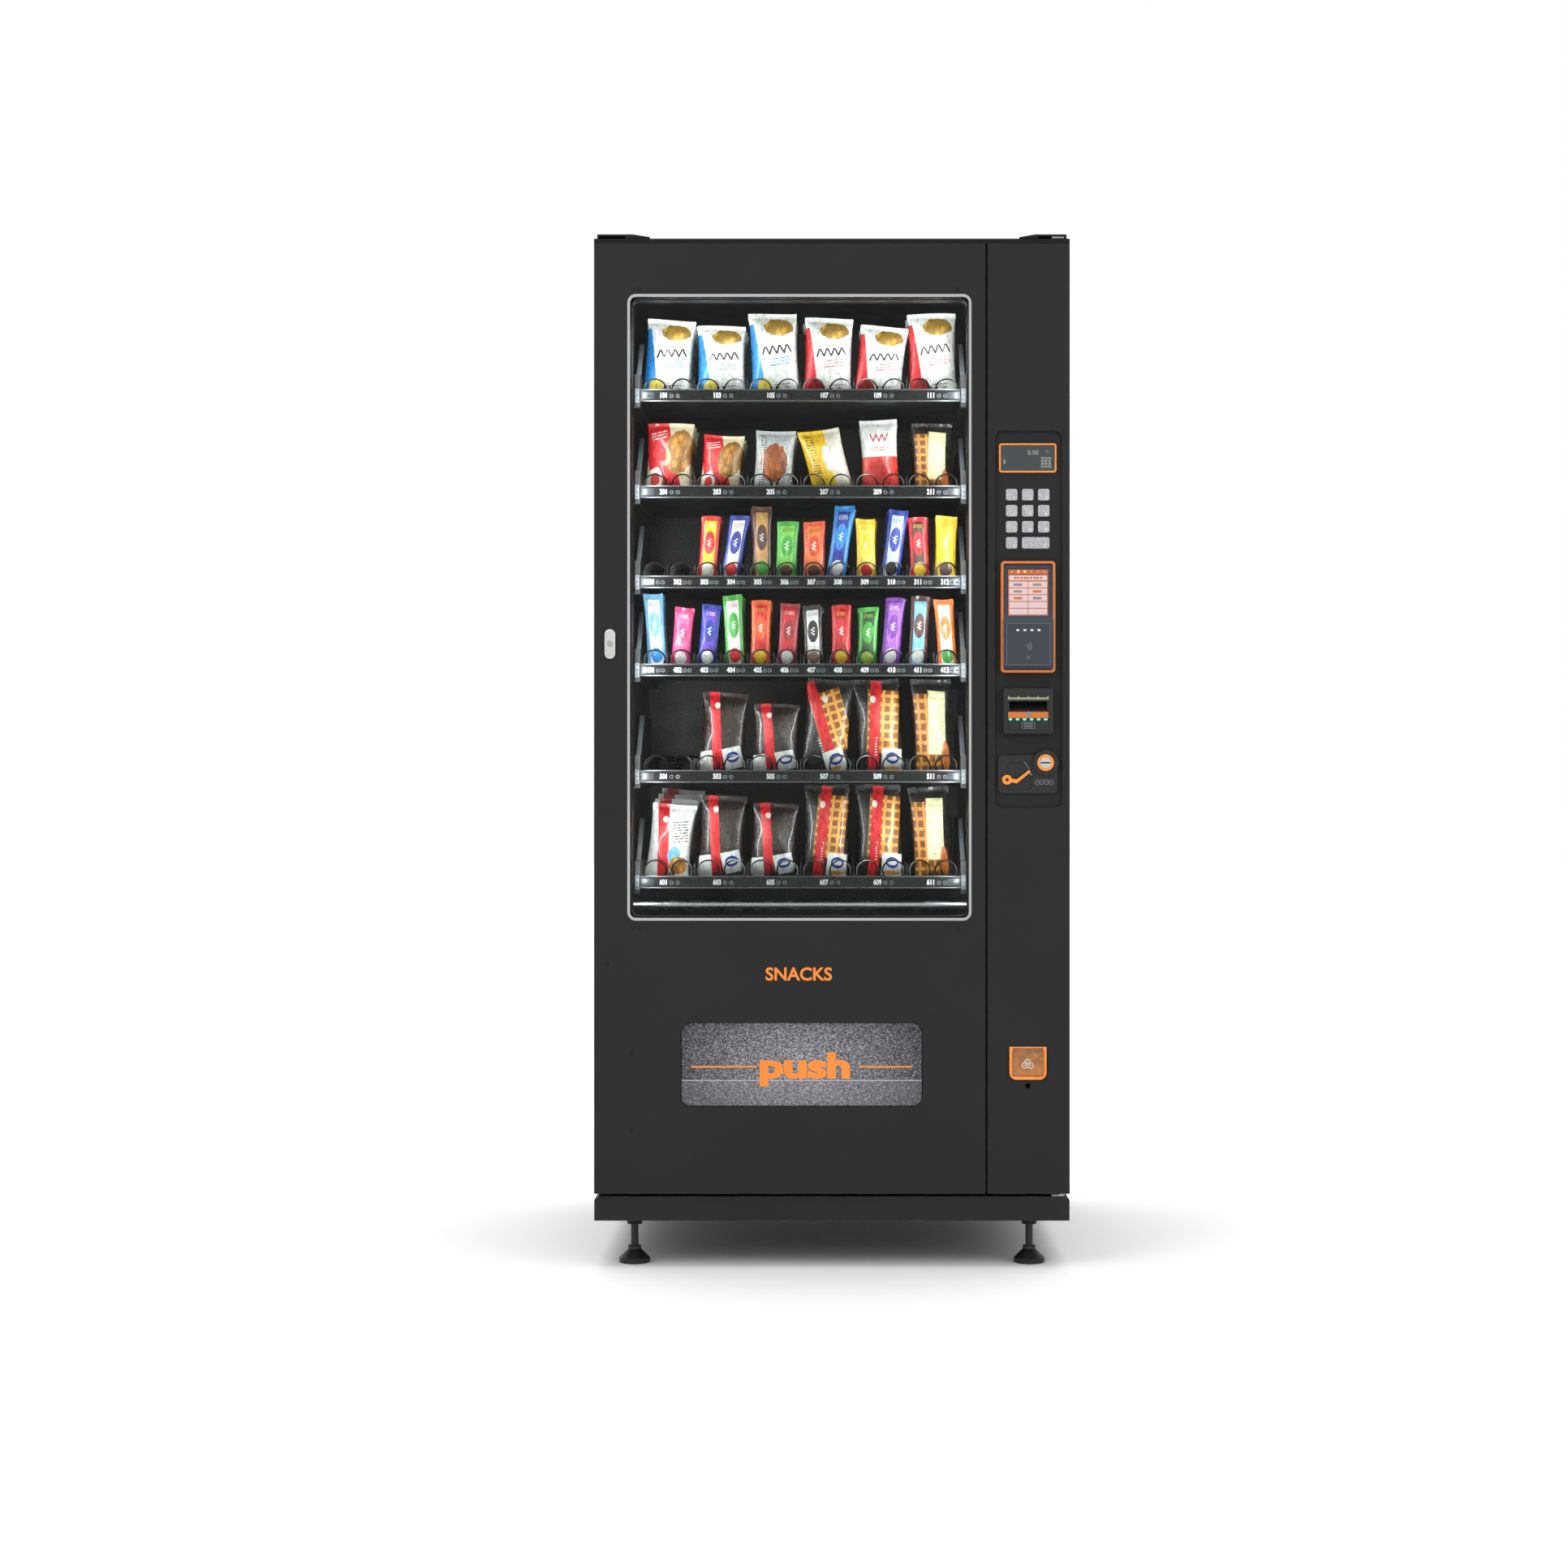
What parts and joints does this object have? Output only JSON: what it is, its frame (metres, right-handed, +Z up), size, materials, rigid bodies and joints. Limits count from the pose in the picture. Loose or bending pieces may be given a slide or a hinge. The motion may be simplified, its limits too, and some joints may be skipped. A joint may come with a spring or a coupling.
{
  "type": "snack vending machine",
  "caption": "Free-standing glass-fronted snack vending machine with coil shelves, hinged door, payment column, delivery flap and levelling feet.",
  "frame": {"origin": "centre of the footprint on the floor", "axes": "+Z up, -Y the glass front, +X the payment column's side"},
  "size_m": [0.88, 0.8, 1.912],
  "materials": {
    "charcoal_paint": "satin",
    "black_liner": "satin",
    "white_liner": "satin",
    "zinc_sheet": "satin",
    "coil_black": "satin",
    "black_plastic": "matte",
    "orange_plastic": "gloss",
    "slate_plastic": "satin",
    "key_silver": "satin",
    "lcd_dark": "gloss",
    "foam": "matte",
    "gasket_rubber": "matte",
    "aluminium_trim": "satin",
    "chrome_lock": "polished",
    "clear_glass": "gloss",
    "frosted_flap": "satin",
    "amber_flap": "gloss",
    "led_white": "matte",
    "foil_pack": "gloss"
  },
  "bodies": {
    "cabinet": {"base_frame": "charcoal_paint", "chute_bar": "aluminium_trim", "coil_motors": "zinc_sheet", "coils_fixed": "coil_black", "control_box": "zinc_sheet", "hinge_brackets": "zinc_sheet", "inner_liner": "black_liner", "insulation": "foam", "led_strips": "led_white", "outer_wrap": "charcoal_paint", "partition_wall": "black_liner", "power_inlet": "black_plastic", "price_strips": "black_plastic", "rear_panel": "zinc_sheet", "roof_covers": "black_plastic", "stock_packets": "foil_pack", "tray_rails": "coil_black", "trays": "coil_black"},
    "door": {"door_skin": "charcoal_paint", "column_panel": "charcoal_paint", "door_frame": "charcoal_paint", "window_trim": "aluminium_trim", "window_glass": "clear_glass", "door_inner_panel": "white_liner", "door_gasket": "gasket_rubber", "door_screws": "chrome_lock", "delivery_bin": "black_plastic", "display_frame": "orange_plastic", "display_screen": "lcd_dark", "keypad_board": "black_plastic", "card_reader_frame": "orange_plastic", "card_reader": "slate_plastic", "bill_acceptor": "black_plastic", "coin_plate": "black_plastic", "coin_changer": "zinc_sheet", "coin_cup": "orange_plastic"},
    "delivery_flap": {"delivery_flap": "frosted_flap"},
    "coin_flap": {"coin_flap": "amber_flap"},
    "coin_lever": {"coin_lever": "orange_plastic"},
    "key_1": {"key_1": "key_silver"},
    "key_2": {"key_2": "key_silver"},
    "key_3": {"key_3": "key_silver"},
    "key_4": {"key_4": "key_silver"},
    "key_5": {"key_5": "key_silver"},
    "key_6": {"key_6": "key_silver"},
    "key_7": {"key_7": "key_silver"},
    "key_8": {"key_8": "key_silver"},
    "key_9": {"key_9": "key_silver"},
    "key_0": {"key_0": "key_silver"},
    "key_clear": {"key_clear": "key_silver"},
    "lock_barrel": {"lock_barrel": "chrome_lock"},
    "lock_handle": {"lock_handle": "chrome_lock"},
    "foot_front_left": {"foot_front_left": "black_plastic"},
    "foot_front_right": {"foot_front_right": "black_plastic"},
    "foot_rear_left": {"foot_rear_left": "black_plastic"},
    "foot_rear_right": {"foot_rear_right": "black_plastic"},
    "coil_301": {"coil_301": "coil_black"},
    "coil_302": {"coil_302": "coil_black"},
    "coil_501_left": {"coil_501_left": "coil_black"},
    "coil_501_right": {"coil_501_right": "coil_black"}
  },
  "joints": [
    {"name": "door_hinge", "type": "hinge", "parent": "cabinet", "child": "door", "pos_m": [0.425, -0.371, 1], "axis": [0, 0, 1], "range_deg": [0, 110]},
    {"name": "delivery_flap_hinge", "type": "hinge", "parent": "door", "child": "delivery_flap", "pos_m": [-0.05595, -0.3805, 0.4495], "axis": [1, 0, 0], "range_deg": [0, 75]},
    {"name": "coin_flap_hinge", "type": "hinge", "parent": "door", "child": "coin_flap", "pos_m": [0.3622, -0.3854, 0.40575], "axis": [1, 0, 0], "range_deg": [0, 60]},
    {"name": "coin_lever_turn", "type": "hinge", "parent": "door", "child": "coin_lever", "pos_m": [0.3236, -0.388, 0.9034], "axis": [0, 1, 0], "range_deg": [0, 25], "stiffness_Nm_per_rad": 0.05, "springref_deg": -11.46},
    {"name": "key_1_press", "type": "slide", "parent": "door", "child": "key_1", "axis": [0, 1, 0], "range_m": [0, 0.0018], "stiffness_N_per_m": 400, "springref_m": -0.0006},
    {"name": "key_2_press", "type": "slide", "parent": "door", "child": "key_2", "axis": [0, 1, 0], "range_m": [0, 0.0018], "stiffness_N_per_m": 400, "springref_m": -0.0006},
    {"name": "key_3_press", "type": "slide", "parent": "door", "child": "key_3", "axis": [0, 1, 0], "range_m": [0, 0.0018], "stiffness_N_per_m": 400, "springref_m": -0.0006},
    {"name": "key_4_press", "type": "slide", "parent": "door", "child": "key_4", "axis": [0, 1, 0], "range_m": [0, 0.0018], "stiffness_N_per_m": 400, "springref_m": -0.0006},
    {"name": "key_5_press", "type": "slide", "parent": "door", "child": "key_5", "axis": [0, 1, 0], "range_m": [0, 0.0018], "stiffness_N_per_m": 400, "springref_m": -0.0006},
    {"name": "key_6_press", "type": "slide", "parent": "door", "child": "key_6", "axis": [0, 1, 0], "range_m": [0, 0.0018], "stiffness_N_per_m": 400, "springref_m": -0.0006},
    {"name": "key_7_press", "type": "slide", "parent": "door", "child": "key_7", "axis": [0, 1, 0], "range_m": [0, 0.0018], "stiffness_N_per_m": 400, "springref_m": -0.0006},
    {"name": "key_8_press", "type": "slide", "parent": "door", "child": "key_8", "axis": [0, 1, 0], "range_m": [0, 0.0018], "stiffness_N_per_m": 400, "springref_m": -0.0006},
    {"name": "key_9_press", "type": "slide", "parent": "door", "child": "key_9", "axis": [0, 1, 0], "range_m": [0, 0.0018], "stiffness_N_per_m": 400, "springref_m": -0.0006},
    {"name": "key_0_press", "type": "slide", "parent": "door", "child": "key_0", "axis": [0, 1, 0], "range_m": [0, 0.0018], "stiffness_N_per_m": 400, "springref_m": -0.0006},
    {"name": "key_clear_press", "type": "slide", "parent": "door", "child": "key_clear", "axis": [0, 1, 0], "range_m": [0, 0.0018], "stiffness_N_per_m": 400, "springref_m": -0.0006},
    {"name": "lock_pull", "type": "slide", "parent": "door", "child": "lock_barrel", "axis": [0, -1, 0], "range_m": [0, 0.02]},
    {"name": "lock_turn", "type": "hinge", "parent": "lock_barrel", "child": "lock_handle", "pos_m": [-0.41, -0.388, 1.154], "axis": [0, 1, 0], "range_deg": [0, 90]},
    {"name": "foot_front_left_screw", "type": "slide", "parent": "cabinet", "child": "foot_front_left", "axis": [0, 0, 1], "range_m": [-0.015, 0.02]},
    {"name": "foot_front_right_screw", "type": "slide", "parent": "cabinet", "child": "foot_front_right", "axis": [0, 0, 1], "range_m": [-0.015, 0.02]},
    {"name": "foot_rear_left_screw", "type": "slide", "parent": "cabinet", "child": "foot_rear_left", "axis": [0, 0, 1], "range_m": [-0.015, 0.02]},
    {"name": "foot_rear_right_screw", "type": "slide", "parent": "cabinet", "child": "foot_rear_right", "axis": [0, 0, 1], "range_m": [-0.015, 0.02]},
    {"name": "coil_301_spin", "type": "hinge", "parent": "cabinet", "child": "coil_301", "pos_m": [-0.3405, 0.247, 1.2994], "axis": [0, 1, 0], "continuous": true},
    {"name": "coil_302_spin", "type": "hinge", "parent": "cabinet", "child": "coil_302", "pos_m": [-0.2895, 0.247, 1.2994], "axis": [0, 1, 0], "continuous": true},
    {"name": "coil_501_left_spin", "type": "hinge", "parent": "cabinet", "child": "coil_501_left", "pos_m": [-0.3405, 0.247, 0.9284], "axis": [0, 1, 0], "continuous": true},
    {"name": "coil_501_right_spin", "type": "hinge", "parent": "cabinet", "child": "coil_501_right", "pos_m": [-0.2895, 0.247, 0.9284], "axis": [0, 1, 0], "continuous": true}
  ],
  "couplings": [
    {"joint": "coil_501_right_spin", "follows": "coil_501_left_spin", "ratio": -1}
  ]
}
